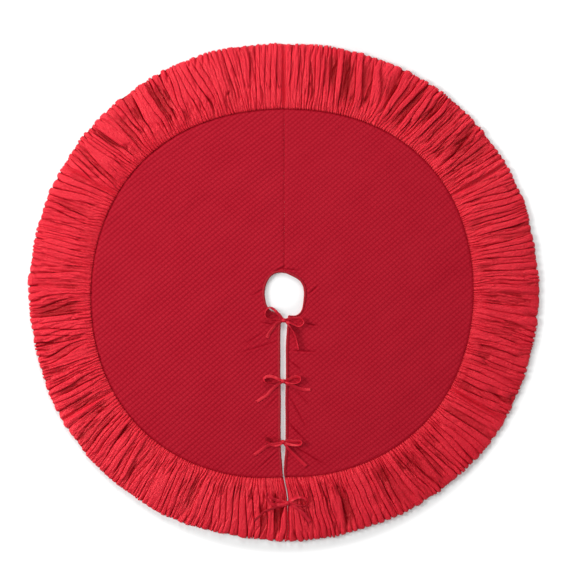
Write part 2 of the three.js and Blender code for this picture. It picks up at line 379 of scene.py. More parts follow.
def satin(name, dark, light, roughness, threads, sheen, patch_scale, weave_strength, folds=None):
    """Smooth shiny cloth: colour varies softly in patches, along the threads, with a fine weave.

    With folds, a colour, the cloth is wrinkled and takes painted shade of that colour in its folds, where the
    stored share of light is low."""
    made = Surface(name)
    cloth = made.uv("cloth")
    patches = made.noise(cloth, patch_scale, 3.0)
    streaks = made.noise(made.stretched(cloth, (patch_scale * 12, patch_scale, 1)), 1.0)
    colour = made.ramp(made.blend(patches, 0.65, streaks), [(0.3, dark), (0.7, light)])
    normal = made.bump(streaks, 0.4 * MM, 0.35)
    if folds is not None:
        # Painted shade: darker in the folds and along the seam, from the stored share of light.
        colour = made.fold_shaded(colour, folds)
        wrinkles = made.noise(made.stretched(cloth, (110, 60, 1)), 1.0, 3.0, 0.6)
        wrinkles = made.math("ABSOLUTE", made.math("SUBTRACT", wrinkles, 0.5))
        normal = made.bump(wrinkles, 7.0 * MM, 0.8, normal)
    rough = made.add("MapRange", {"Value": streaks, "To Min": roughness - 0.06, "To Max": roughness + 0.08})
    made.feed(made.shader, {
        "Base Color": colour, "Roughness": rough,
        "Sheen Weight": sheen, "Sheen Roughness": 0.4, "Sheen Tint": SHEEN_TINT,
        "Specular IOR Level": 0.9, "Specular Tint": (1.0, 0.20, 0.19, 1),
        "Normal": made.bump(made.weave(cloth, threads), 0.12 * MM, weave_strength, normal)})
    return made.material


def quilted(name):
    """Quilted cloth: the stitched lines sit drawn in and darkened by painted shade, with their stitches, in a
    fine weave.
    """
    made = Surface(name)
    cloth = made.uv("cloth")
    places = [made.part(cloth, axis) for axis in (0, 1)]
    lines = [made.math("ABSOLUTE", made.math("SINE", made.math("MULTIPLY", place, math.pi / QUILT_PITCH)))
             for place in places]
    nearest = made.math("MINIMUM", lines[0], made.math("MULTIPLY", lines[1], 1.4))
    raised = made.math("POWER", nearest, 0.6)
    # Painted shade: the colour is darker along the stitched lines, where the cloth dips, mixed with a random
    # tone.
    colour = made.ramp(made.blend(raised, 0.62, made.noise(cloth, 9.0, 3.0)), [
        (0.12, (0.305, 0.0025, 0.0125)), (0.5, (0.380, 0.0075, 0.0205)), (0.85, (0.420, 0.0125, 0.0270))])
    thread = []
    for place, line in zip(reversed(places), lines):
        along = made.math("SINE", made.math("MULTIPLY", place, 2 * math.pi / STITCH_LENGTH))
        thread.append(made.math("MULTIPLY", made.math("LESS_THAN", line, 0.1), along))
    normal = made.bump(raised, 0.4 * MM, 0.5)
    normal = made.bump(made.math("ADD", *thread), 0.2 * MM, 0.4, normal)
    # Painted shade of the folds colour in the quilting's valleys, creases and seams, from the stored share of
    # light.
    made.feed(made.shader, {
        "Base Color": made.fold_shaded(colour, (0.26, 0.0005, 0.008)), "Roughness": 0.62,
        "Sheen Weight": 0.05, "Sheen Roughness": 0.5, "Sheen Tint": SHEEN_TINT,
        "Specular IOR Level": 0.3, "Specular Tint": (1.0, 0.1, 0.12, 1),
        "Normal": made.bump(made.weave(cloth, 1400), 0.1 * MM, 0.35, normal)})
    return made.material


def plain_weave(name, dark, light, roughness, threads):
    """Matt plain-woven cloth with slubs."""
    made = Surface(name)
    cloth = made.uv("cloth")
    slubs = made.bump(made.noise(made.stretched(cloth, (300, 60, 1)), 1.0), 0.3 * MM, 0.4)
    made.feed(made.shader, {
        "Base Color": made.ramp(made.noise(cloth, 14.0, 4.0), [(0.3, dark), (0.7, light)]),
        "Roughness": roughness, "Sheen Weight": 0.15, "Sheen Tint": (1.0, 0.5, 0.5, 1),
        "Normal": made.bump(made.weave(cloth, threads), 0.2 * MM, 0.5, slubs)})
    return made.material


def loose_fibre(name, dark, light):
    """Matt fibre, all strands."""
    made = Surface(name)
    strands = made.noise(made.stretched(made.uv("cloth"), (400, 900, 1)), 1.0, 4.0, 0.7)
    made.feed(made.shader, {
        "Base Color": made.ramp(strands, [(0.3, dark), (0.7, light)]), "Roughness": 0.95,
        "Normal": made.bump(strands, 0.8 * MM, 0.6)})
    return made.material


QUILTED = quilted("quilted_satin")
# The ruffle's folds colour is painted shade, laid into its sunken folds.
RUFFLE = satin("ruffle_satin", (0.62, 0.0100, 0.028), (0.80, 0.0245, 0.047), 0.42, 2400, 0.03, 8.0, 0.15,
               folds=(0.29, 0.0001, 0.005))
RIBBON = satin("ribbon_satin", (0.49, 0.008, 0.024), (0.60, 0.015, 0.035), 0.36, 3200, 0.03, 20.0, 0.2)
# Painted shade: the binding satin is its own red made darker, standing in for the shade along the edges of the
# trunk hole and slit.
BINDING = satin("binding_satin", (0.29, 0.005, 0.015), (0.35, 0.007, 0.020), 0.58, 2400, 0.03, 20.0, 0.2)
THREAD = satin("thread", (0.30, 0.005, 0.015), (0.38, 0.008, 0.022), 0.5, 9000, 0.0, 60.0, 0.2)
LINING = plain_weave("lining_cotton", (0.26, 0.007, 0.017), (0.34, 0.011, 0.024), 0.85, 900)
FIBRE = loose_fibre("batting_fibre", (0.72, 0.71, 0.68), (0.9, 0.89, 0.87))


# ---------------------------------------------------------------- quilted face, lining and batting
SQUARE = (0.0, math.pi / 2)
FOLD_MARGIN = 30 * MM  # finer_at_fold draws sheets in, so they start wider


def panel_depth(side, inset, outer, back_inset=BACK_GAP):
    """Depth inside one half of a layer, in world plan coordinates."""
    def depth(x, y):
        across = side * x
        inner = depth_from_opening(across, y) - inset
        back = np.where(y > 0, across - back_inset, 1.0)
        return np.minimum(np.minimum(outer - np.hypot(x, y), inner), back)
    return depth


def half_corners(side, outer):
    """The low and high corners of a box round one half, and a little past the fold."""
    past = 0.02
    xs = (-outer, past) if side < 0 else (-past, outer)
    return (xs[0], -outer), (xs[1], outer)


# Creases in the panel as it lies, pulled by the bows and the hole: from, to and depth, in millimetres
CREASES = [
    ((-30, 62), (8, 80), 1.3), ((-18, 72), (46, 66), 1.1), ((73, -6), (101, 20), 1.2),
    ((62, -92), (98, -99), 1.4), ((-70, -88), (-32, -95), 1.1), ((-132, -179), (-18, -144), 1.0),
    ((-118, -153), (-62, -118), 1.0), ((19, -172), (93, -176), 1.2), ((19, -204), (50, -229), 1.3),
    ((-98, -11), (-62, 11), 0.9),
    ((12, -300), (66, -402), 1.0), ((33, -290), (76, -334), 0.9), ((14, -384), (44, -420), 1.1),
    ((16, -392), (70, -446), 1.1), ((17, -449), (122, -512), 1.3), ((-16, -470), (-74, -520), 0.9),
    ((-14, -300), (-60, -352), 0.8),
]


def creased(x, y):
    """How far the creases pull the cloth down at a point, in metres; each has a soft rise beside it."""
    down = 0.0
    for start, end, depth in CREASES:
        start, end = np.array(start) * MM, np.array(end) * MM
        run = end - start
        length = math.hypot(*run)
        run = run / length
        along = (x - start[0]) * run[0] + (y - start[1]) * run[1]
        across = (x - start[0]) * run[1] - (y - start[1]) * run[0]
        fade = smooth(along / length, -0.15, 0.35) * (1 - smooth(along / length, 0.65, 1.15))
        dip = bell(across, 2.6 * MM) - 0.45 * bell(np.abs(across) - 6 * MM, 4 * MM)
        down = down + 1.5 * depth * MM * fade * dip
    return down


def quilted_face(side_name, side):
    """One half of the quilted top: pillows between two families of stitched lines, pressed down at its edges.
    """
    depth = panel_depth(side, 1.6 * MM, SEAM_RADIUS)
    step = QUILT_PITCH / QUILT_STEPS
    plan, faces = cut_sheet(depth, step, QUILT_ANGLES, *half_corners(side, SEAM_RADIUS))
    basis = np.array([[math.cos(a), math.sin(a)] for a in QUILT_ANGLES])
    u, v = (plan @ basis.T).T
    x, y = plan.T
    crossing, flatter = (0.58, 0.0) if side < 0 else (0.74, 0.20)
    pillow = ridged(u / QUILT_PITCH, 0.7) * mix(1, ridged(v / QUILT_PITCH, 0.8), crossing)
    pillow = mix(flatter, 1, pillow)
    fullness = 0.84 + 0.10 * noise(u / 0.03, v / 0.05, 3 + side)
    fullness = fullness + 0.12 * noise(u / 0.010, v / 0.013, 51 + side)
    radius = np.hypot(x, y)
    puckers = noise(u / 0.016, v / 0.11, 11 + side) * np.exp(-(SEAM_RADIUS - radius) / 0.05)
    slit_pull = noise(u / 0.014, v / 0.09, 21 + side) * np.exp(-np.maximum(side * x, 0) / 0.04) * (y < 0)
    sway = 0.7 * noise(u / 0.05, v / 0.16, 31 + side)
    z = mix(QUILT_VALLEY, QUILT_CREST, pillow * fullness)
    z += MM * (0.7 * puckers + 0.6 * slit_pull + sway)
    lx, ly = laid(x, y)
    z -= creased(lx, ly)
    z = mix(3.4 * MM, z, smooth(SEAM_RADIUS - radius, -1 * MM, 7 * MM))
    back = np.where(y > 0, np.abs(x), 1.0)
    z -= 1.5 * MM * bell(back, 3.2 * MM)
    bound = depth_from_opening(side * x, y)
    z = mix(np.minimum(z, BINDING_TOP - 2.2 * MM), z, smooth(bound, 6 * MM, 11 * MM))
    z = np.maximum(z, BATTING_HIGH - 0.5 * MM)
    flip = faces if np.cross(basis[0], basis[1]) > 0 else faces[:, ::-1]
    face = make_piece(f"quilted_face_{side_name}_cloth", np.stack([lx, ly, z], -1), flip, QUILTED,
                      np.stack([u, v], -1))
    # Painted shade, stored for the material: darker in the quilting's valleys, along the panel seam, in the
    # creases and along the back seam.
    painted_shade = 0.30 * (1 - smooth(pillow, 0, 0.4)) + 0.9 * bell(SEAM_RADIUS - radius, 3.5 * MM)
    painted_shade += 0.62 * np.maximum(creased(lx, ly), 0) / MM + 0.4 * bell(back, 2 * MM)
    add_shade_mask(face, np.clip(1 - painted_shade, 0, 1))
    return face


def lining(side_name, side):
    """One half of the plain lining under everything, lightly rumpled, out to the turned-under ruffle."""
    def depth(x, y):
        across = side * x
        inner = depth_from_opening(across, y)
        bound = inner - mix(6.6 * MM, 0.8 * MM, smooth(-y, SEAM_RADIUS - 0.01, SEAM_RADIUS + 0.01))
        back = np.where(y > 0, across - BACK_GAP, 1.0)
        return np.minimum(np.minimum(LINING_RADIUS + 4 * MM - np.hypot(x, y), bound), back)
    corners = half_corners(side, LINING_RADIUS + FOLD_MARGIN)
    plan, faces = cut_sheet(depth, 6 * MM, SQUARE, *corners, finer_at_fold)
    x, y = plan.T
    rumple = 0.5 + 0.5 * noise(x / 0.045, y / 0.03, 41) * noise(x / 0.013, y / 0.017, 43)
    z = MM * (0.25 + 0.5 * rumple)
    lx, ly = laid(x, y)
    return make_piece(f"lining_{side_name}_cloth", np.stack([lx, ly, z], -1), faces[:, ::-1], LINING, plan)


def batting(side_name, side):
    """One half of the fibre layer between face and lining, hidden inside."""
    depth = panel_depth(side, 3 * MM, SEAM_RADIUS - 4 * MM, 0.6 * MM)
    corners = half_corners(side, SEAM_RADIUS + FOLD_MARGIN)
    plan, faces = cut_sheet(depth, 11 * MM, SQUARE, *corners, finer_at_fold)
    x, y = plan.T
    lx, ly = laid(x, y)
    top = BATTING_HIGH - 0.9 * MM + 0.25 * MM * noise(x / 0.02, y / 0.02, 51)
    bottom = BATTING_LOW + 0.4 * MM + 0.2 * MM * noise(x / 0.02, y / 0.02, 53)
    count = len(plan)
    edges = {}
    for face in faces:
        for a, b in zip(face, np.roll(face, -1)):
            edges[(a, b)] = edges.get((a, b), 0) + 1
    walls = [(b, a, a + count, b + count) for a, b in edges if (b, a) not in edges]
    points = np.concatenate([np.stack([lx, ly, top], -1), np.stack([lx, ly, bottom], -1)])
    every = np.concatenate([faces, faces[:, ::-1] + count, np.array(walls)])
    return make_piece(f"batting_{side_name}_fibre", points, every, FIBRE, np.concatenate([plan, plan]))


# ---------------------------------------------------------------- bindings
def opening_path(side):
    """The finished edge from the back seam round the trunk hole, round the corner and down the slit.

    Returns plan points, the direction into the cloth at each, and where the slit's straight part starts."""
    centre_x = slit_half(HOLE_RADIUS + CORNER_RADIUS) + CORNER_RADIUS
    centre_y = -math.sqrt((HOLE_RADIUS + CORNER_RADIUS) ** 2 - centre_x ** 2)
    turn = math.atan2(centre_x, -centre_y)
    step = 2.2 * MM
    start = math.asin(BACK_GAP / HOLE_RADIUS)
    arc = np.arange(math.pi - start, turn, -step / HOLE_RADIUS)
    points = [(HOLE_RADIUS * math.sin(a), -HOLE_RADIUS * math.cos(a)) for a in arc]
    inward = [(math.sin(a), -math.cos(a)) for a in arc]
    corner = np.linspace(math.atan2(-centre_y, -centre_x), math.pi, 9)
    points += [(centre_x + CORNER_RADIUS * math.cos(a), centre_y + CORNER_RADIUS * math.sin(a))
               for a in corner]
    inward += [(-math.cos(a), -math.sin(a)) for a in corner]
    split = len(points) - 1
    for distance in np.arange(-centre_y + step, SEAM_RADIUS - 1 * MM, step):
        slope = (slit_half(distance + step) - slit_half(distance - step)) / (2 * step)
        length = math.hypot(1, slope)
        points.append((float(slit_half(distance)), -distance))
        inward.append((1 / length, slope / length))
    points, inward = np.array(points), np.array(inward)
    points[:, 0] *= side
    inward[:, 0] *= side
    return points, inward, split


def binding_section():
    """The folded strip's section as points (depth into the cloth, height): over, round the fold, under."""
    top, low, reach = BINDING_TOP / MM, 0.35, BINDING_WIDTH / MM + 0.6
    outer = [(reach, top - 0.9), (reach - 0.5, top - 0.35), (reach - 1.6, top - 0.45),
             (reach - 2.8, top + 0.05), (3.2, top + 0.25), (1.6, top - 0.05), (0.5, top - 0.9),
             (0.0, top * 0.62), (0.0, top * 0.38), (0.6, 1.2), (1.8, low + 0.1), (reach, low)]
    inner = [(reach, low + 0.5), (2.2, low + 0.6), (0.9, 1.7), (0.6, top * 0.5), (1.0, top - 1.6),
             (2.4, top - 0.9), (reach - 0.6, top - 1.3)]
    return np.array(outer + inner) * MM


def binding(name, side, points, inward, seed):
    """A folded strip swept along the finished edge, its top puckered a little between the stitches."""
    section = binding_section()
    along = lengths_along(points)
    pucker = noise(along / (9 * MM), seed, seed) * 0.22 * MM
    rings = []
    for point, direction, lift in zip(points, inward, pucker):
        plan = point + direction * section[:, :1]
        x, y = laid(plan[:, 0], plan[:, 1])
        raised = section[:, 1] + lift * smooth(section[:, 1], 3 * MM, 7 * MM)
        rings.append(np.stack([x, y, raised], -1))
    faces = closed_tube_faces(len(rings), len(section))
    if side < 0:
        faces = [f[::-1] for f in faces]
    uv = np.stack(np.meshgrid(along, lengths_along(section), indexing="ij"), -1).reshape(-1, 2)
    return make_piece(name, np.concatenate(rings), faces, BINDING, uv)


def stitches(name, side, points, inward, inset, spacing):
    """A row of small stitches on top of a binding, parallel to its edge."""
    along = lengths_along(points)
    ring = [(math.cos(a), math.sin(a)) for a in np.linspace(0, 2 * math.pi, 6, endpoint=False)]
    sections = ((-0.36, 0.35), (-0.2, 1.0), (0.2, 1.0), (0.36, 0.35))
    verts, faces, uv = [], [], []
    for place in np.arange(spacing, along[-1] - spacing, spacing):
        base = np.array([np.interp(place, along, points[:, k]) for k in (0, 1)])
        into = np.array([np.interp(place, along, inward[:, k]) for k in (0, 1)])
        into /= np.linalg.norm(into)
        run = np.array([-into[1], into[0]])
        centre = base + into * inset
        start = len(verts)
        for share, thick in sections:
            for aside, up in ring:
                spot = centre + run * share * spacing + into * aside * 0.28 * MM * thick
                x, y = laid(*spot)
                height = BINDING_TOP - 0.2 * MM + up * 0.26 * MM * thick - 0.25 * MM * (abs(share) > 0.3)
                verts.append((float(x), float(y), height))
                uv.append((place + share * spacing, aside * 0.3 * MM))
        faces += [[k + start for k in f] for f in closed_tube_faces(len(sections), len(ring))]
    return make_piece(name, verts, faces, THREAD, uv)


# ---------------------------------------------------------------- ruffle
# Its section over the puff and back under the edge, in millimetres: distance out from the seam, and height
RUFFLE_PROFILE = [
    (0, 2.8), (-0.3, 3.9), (2.5, 5.4), (8, 7.2), (20, 9.6), (45, 11.3), (80, 11.8), (115, 11.6), (145, 11.0),
    (165, 10.0), (178, 8.4), (185, 6.4), (187.5, 4.2), (186, 2.2), (181, 1.2), (173, 1.0), (166, 1.0),
]
RUFFLE_ROWS = 90
RUFFLE_STEP = 1.8 * MM
STRIP_NAMES = ("front", "middle", "back")
STRIP_LENGTH = 1.14

# Kinds of fold, each with the distance from one to the next along the strip, and its height in millimetres
FOLD_PITCH, FOLD_RISE = 31 * MM, 10.5
SECOND_PITCH, SECOND_RISE = 14.5 * MM, 2.4
GATHER_PITCH, GATHER_RISE = 12.5 * MM, 3.8
TUCK_PITCH, TUCK_RISE = 17.5 * MM, 5.0
SCALLOP_PITCH, SCALLOP_RISE = 29 * MM, 6.2
CRUMPLE_RISE, GRAIN_RISE = 2.0, 0.35
CUT_DEPTH, CRUSH_DEPTH = 3.4, 2.6
HIGHEST_FOLD = 5.0


def profile_curve():
    """The ruffle's section as points along it, closer near both seams, with normals and places."""
    knots = np.array(RUFFLE_PROFILE) * MM
    length = lengths_along(knots)
    fine = np.linspace(0, length[-1], 1200)
    curve = np.stack([np.interp(fine, length, knots[:, k]) for k in (0, 1)], -1)
    padded = np.pad(curve, ((20, 20), (0, 0)), mode="reflect", reflect_type="odd")
    curve = np.stack([np.convolve(padded[:, k], soft_kernel(41), "valid") for k in (0, 1)], -1)
    share = np.linspace(0, 1, RUFFLE_ROWS)
    eased = share - 0.09 * np.sin(2 * math.pi * share)
    place = eased * length[-1]
    points = np.stack([np.interp(place, fine, curve[:, k]) for k in (0, 1)], -1)
    tangent = np.gradient(points, place, axis=0)
    tangent /= np.linalg.norm(tangent, axis=1, keepdims=True)
    normal = np.stack([-tangent[:, 1], tangent[:, 0]], -1)
    return points, normal, place


def fold_height(s, w, seed):
    """How far the gathered cloth stands off the ruffle's section, in metres, and how crushed it is, 0 to 1.

    s runs along the strip and w across it from the panel seam, both as 2D arrays of metres."""
    def field(x, y, step):
        return noise(x, y, seed + step)
    lean = 0.30 * w * field(s / 0.24, 0.5, 0) + 0.0026 * field(s / 0.07, w / 0.11, 1)
    bent = s + lean + 0.0008 * field(s / 0.02, w / 0.045, 15)
    calm = smooth(field(s / 0.10, w / 0.10, 6), -0.5, 0.5)

    # Where each kind of fold is: the body of the puff, beside the panel seam, or round the outer edge
    body = smooth(w, 0.0, 0.055) * (1 - 0.60 * smooth(w, 0.140, 0.187)) * (1 - smooth(w, 0.187, 0.208))
    near_seam = np.exp(-w / 0.017) * smooth(w, 0, 0.003)
    near_panel = smooth(w, 0, 0.006) * bell(w, 0.062)
    near_edge = bell(w - 0.187, 0.028)

    # Big folds, flat on top, whose tops and valleys wander up and down
    phase = bent / FOLD_PITCH + field(bent / 0.075, w / 0.22, 2)
    ridge = np.floor(phase)
    share = phase - ridge
    valleys = mix(field(ridge, w / 0.11, 3), field(ridge + 1, w / 0.11, 3), share)
    tops = np.clip(0.82 + 0.50 * field(ridge, w / 0.12, 4), 0.3, 1.15)
    depth = np.clip(1.0 + 0.55 * field(s / 0.10, w / 0.15, 20), 0.55, 1.35)
    height = FOLD_RISE * (tops * plateau(share) + 0.26 * valleys - 0.66) * body * depth

    # Smaller folds on them, gathers and tucks out of the panel seam, and scallops round the edge
    second = ridged(bent / SECOND_PITCH + 0.5 * field(s / 0.05, w / 0.07, 7), 0.9)
    height += SECOND_RISE * (second - 0.6) * body * mix(0.25, 1, calm)
    gathers = ridged(s / GATHER_PITCH + 0.5 * field(s / 0.03, w / 0.05, 8), 0.8)
    size = np.clip(0.9 + 0.8 * field(s / 0.018, w / 0.05, 9), 0.2, 1.6)
    height += GATHER_RISE * (gathers - 0.6) * near_seam * size
    tucks = ridged(bent / TUCK_PITCH + 0.6 * field(s / 0.045, w / 0.07, 18), 0.6)
    size = np.clip(0.85 + 0.9 * field(s / 0.03, w / 0.06, 19), 0.0, 1.6)
    height += TUCK_RISE * (tucks - 0.6) * near_panel * size
    scallops = ridged(bent / SCALLOP_PITCH + 0.8 * field(s / 0.06, w / 0.1, 10), 0.7)
    size = np.clip(1.0 + 1.1 * field(s / 0.045, 0.5, 11), 0.2, 1.8)
    height += SCALLOP_RISE * (scallops - 0.6) * near_edge * size

    # Crumples both ways, narrow cuts between folds, crushed patches and a fine grain
    crumple = np.abs(field((s + 0.35 * w) / 0.013, w / 0.040, 12))
    crumple += np.abs(field((s - 0.50 * w) / 0.012, w / 0.034 + 9, 13))
    height += CRUMPLE_RISE * (crumple - 0.6) * body * mix(0.35, 1, calm)
    cuts = 1 - smooth(np.abs(field(bent / 0.013, w / 0.13, 16)), 0.0, 0.16)
    height -= CUT_DEPTH * cuts * smooth(field(s / 0.04, w / 0.05, 17), -0.7, 0.3) * body
    crushed = smooth(field((bent + 0.15 * w) / 0.017, w / 0.060, 21), 0.38, 0.80) * smooth(w, 0.02, 0.05)
    height -= CRUSH_DEPTH * crushed * (0.35 + crumple) * body
    height += GRAIN_RISE * field(s / 0.006, w / 0.012, 14) * body
    return np.where(height > 0, HIGHEST_FOLD * np.tanh(height / HIGHEST_FOLD), height) * MM, crushed


def smoothed(values, reach):
    """The values averaged down each column over so many rows each way."""
    kernel = soft_kernel(2 * reach + 1)
    columns = [np.convolve(np.pad(column, reach, mode="edge"), kernel, "valid") for column in values.T]
    return np.stack(columns, axis=1)


def ruffle_strip(side_name, side, index):
    """One joined length of the ruffle. Its cloth keeps its length, so steep folds take less of the ring."""
    seed = 100 + 20 * index + (0 if side < 0 else 70)
    section, normal, place = profile_curve()
    columns = int(STRIP_LENGTH / RUFFLE_STEP)
    s, w = np.meshgrid(np.linspace(0, STRIP_LENGTH, columns), place)
    height, crushed = fold_height(s, w, seed)
    ends = np.minimum(s, STRIP_LENGTH - s)
    at_slit = s if index == 0 else np.full_like(s, 1.0)
    height *= smooth(ends, 0, 0.010)
    radius = SEAM_RADIUS + section[:, 0]

    # Along the strip, each point's place follows the cloth's run over the folds, evened out
    step = STRIP_LENGTH / (columns - 1)
    rise = np.diff(height, axis=1)
    run = np.sqrt(np.maximum(step ** 2 - rise ** 2, (0.22 * step) ** 2))
    run = np.concatenate([np.zeros((RUFFLE_ROWS, 1)), np.cumsum(run, axis=1)], axis=1)
    run /= run[:, -1:]
    even = s / STRIP_LENGTH
    drift = smoothed(run - even, 8)
    run = even + drift - 0.75 * smoothed(drift.T, 35).T * smooth(ends, 0, 0.05)

    # Round the skirt from the slit, or from the strip before, with low ends at the joins
    across = np.pi * index / len(STRIP_NAMES), np.pi * (index + 1) / len(STRIP_NAMES)
    front = slit_half(radius) if index == 0 else np.full_like(radius, BACK_GAP)
    low = across[0] + np.arcsin(front / radius)
    high = across[1] - np.arcsin(BACK_GAP / radius)
    angle = low[:, None] + (high - low)[:, None] * run
    dip = mix(0.42, 1, smooth(ends, 0, 0.012 if index else 0.010))
    dip = np.minimum(dip, mix(0.20, 1, smooth(at_slit, 0, 0.007)))
    r = radius[:, None] + normal[:, :1] * height
    z = section[:, 1:] + normal[:, 1:] * height
    z = np.maximum(mix(0.9 * MM, z, dip), 0.5 * MM)
    x, y = laid(side * r * np.sin(angle), -r * np.cos(angle))
    points = np.stack([x, y, z], -1).reshape(-1, 3)
    faces = grid_faces(RUFFLE_ROWS, columns)
    if side > 0:
        faces = faces[:, ::-1]
    name = f"ruffle_{side_name}_{STRIP_NAMES[index]}_cloth"
    strip = make_piece(name, points, faces, RUFFLE, np.stack([s, w], -1).reshape(-1, 2))
    # Painted shade, stored for the material: the ruffle darkens where its folds sink, in a dark line along the
    # panel seam and in the crushed patches.
    lit_share = smooth(height / MM, -7.5, 2.5) * mix(0.10, 1, smooth(w, 0.5 * MM, 8 * MM)) * (1 - 0.12 * crushed)
    add_shade_mask(strip, lit_share.ravel())
    return strip


# ---------------------------------------------------------------- bows
FIRST_BOW = HOLE_RADIUS + 25 * MM
LAST_BOW = SKIRT_RADIUS - 137 * MM
RIBBON_WIDTH = 10 * MM
RIBBON_THICKNESS = 0.35 * MM
KNOT_RADII = (7.0 * MM, 6.6 * MM, 3.9 * MM)
# For each bow and side, the lines of a loop, which comes back to the knot, and a tail, which ends in a cut
# end: points (x, y, lean) from the knot, in millimetres. Lean is how far the ribbon stands on its edge there,
# from 0, flat, to 1, upright.
BOWS = [
    {"left": (
        [(-3, 3, 0.3), (-15, 17, 0.4), (-28, 31, 0.45), (-40, 38, 0.6), (-50, 35, 0.8), (-57, 22, 0.9),
         (-54, 8, 0.8), (-40, 2, 0.6), (-21, 1, 0.5), (-3, -1, 0.4)],
        [(-3, -2, 0.3), (-14, -5, 0.35), (-24, -13, 0.3), (-37, -29, 0.2), (-45, -40, 0.2),
         (-49, -53, 0.1)]),
     "right": (
        [(3, 2, 0.3), (18, 4, 0.35), (38, 6, 0.4), (51, 4, 0.6), (58, -4, 0.9), (53, -14, 0.8),
         (42, -17, 0.7), (28, -11, 0.6), (14, -5, 0.5), (3, -2, 0.4)],
        [(3, -3, 0.4), (9, -9, 0.6), (18, -21, 0.75), (27, -34, 0.8), (34, -50, 0.8), (38, -68, 0.75),
         (42, -87, 0.7)])},
    {"left": (
        [(-3, 2, 0.2), (-16, 8, 0.3), (-32, 14, 0.2), (-47, 14, 0.2), (-58, 7, 0.6), (-52, -4, 0.8),
         (-38, -6, 0.8), (-19, -4, 0.7), (-3, -1, 0.4)],
        [(-3, -3, 0.2), (-10, -7, 0.2), (-32, -25, 0.1), (-48, -42, 0.05), (-62, -51, 0.0),
         (-78, -61, 0.0)]),
     "right": (
        [(3, 2, 0.3), (15, 4, 0.3), (28, 10, 0.25), (41, 13, 0.3), (52, 8, 0.8), (47, -3, 0.9),
         (32, -6, 0.8), (17, -4, 0.6), (3, -1, 0.4)],
        [(3, -3, 0.3), (13, -8, 0.35), (34, -16, 0.3), (56, -24, 0.1), (68, -26, 0.0),
         (82, -26, 0.0)])},
    {"left": (
        [(-3, 2, 0.3), (-18, 5, 0.6), (-35, 11, 0.8), (-50, 16, 0.9), (-50, 5, 0.8), (-34, -7, 0.3),
         (-19, -10, 0.1), (-3, -3, 0.2)],
        [(-3, -3, 0.2), (-16, -5, 0.2), (-33, -8, 0.2), (-47, -12, 0.2), (-65, -25, 0.1),
         (-86, -39, 0.05)]),
     "right": (
        [(3, 2, 0.2), (14, 3, 0.2), (32, 2, 0.2), (50, 2, 0.4), (55, -3, 0.8), (48, -8, 0.6),
         (28, -8, 0.4), (12, -5, 0.3), (3, -2, 0.3)],
        [(3, -4, 0.4), (10, -13, 0.45), (20, -25, 0.4), (34, -39, 0.3), (51, -55, 0.2),
         (69, -72, 0.1)])},
    {"left": (
        [(-3, 2, 0.2), (-20, 5, 0.15), (-34, 9, 0.15), (-48, 17, 0.25), (-58, 29, 0.4), (-62, 20, 0.5),
         (-54, 4, 0.4), (-38, -5, 0.25), (-18, -5, 0.2), (-3, -3, 0.2)],
        [(-3, -4, 0.2), (-18, -9, 0.3), (-36, -13, 0.4), (-52, -18, 0.5), (-72, -28, 0.5),
         (-98, -52, 0.4)]),
     "right": (
        [(3, 3, 0.3), (8, 5, 0.3), (20, 13, 0.4), (34, 18, 0.5), (49, 16, 0.6), (59, 8, 0.7),
         (59, -3, 0.7), (47, -9, 0.65), (28, -6, 0.5), (14, -2, 0.35), (3, -1, 0.3)],
        [(3, -2, 0.1), (10, -4, 0.1), (22, -11, 0.05), (34, -19, 0.0), (47, -30, 0.0),
         (66, -56, 0.0)])},
]


def smooth_line(points, step):
    """A smooth line through points of any width, resampled evenly along its first two columns."""
    points = np.asarray(points, float)
    dense = []
    padded = np.concatenate([[2 * points[0] - points[1]], points, [2 * points[-1] - points[-2]]])
    for a, b, c, d in zip(padded, padded[1:], padded[2:], padded[3:]):
        u = np.linspace(0, 1, 24, endpoint=False)[:, None]
        dense.append(0.5 * (2 * b + (c - a) * u + (2 * a - 5 * b + 4 * c - d) * u ** 2
                            + (3 * b - a - 3 * c + d) * u ** 3))
    dense = np.concatenate(dense + [points[-1:]])
    along = lengths_along(dense[:, :2])
    places = np.linspace(0, along[-1], max(4, int(round(along[-1] / step))))
    return np.stack([np.interp(places, along, column) for column in dense.T], -1), places


class Ground:
    """What the bows lie on: heights of the skirt's upper surface, found by looking straight down."""

    def __init__(self, pieces):
        graph = bpy.context.evaluated_depsgraph_get()
        self.trees = [BVHTree.FromObject(piece, graph) for piece in pieces]

    def height(self, x, y):
        hits = [tree.ray_cast(Vector((x, y, 0.1)), Vector((0, 0, -1)))[0] for tree in self.trees]
        return max([hit.z for hit in hits if hit is not None], default=0.0)


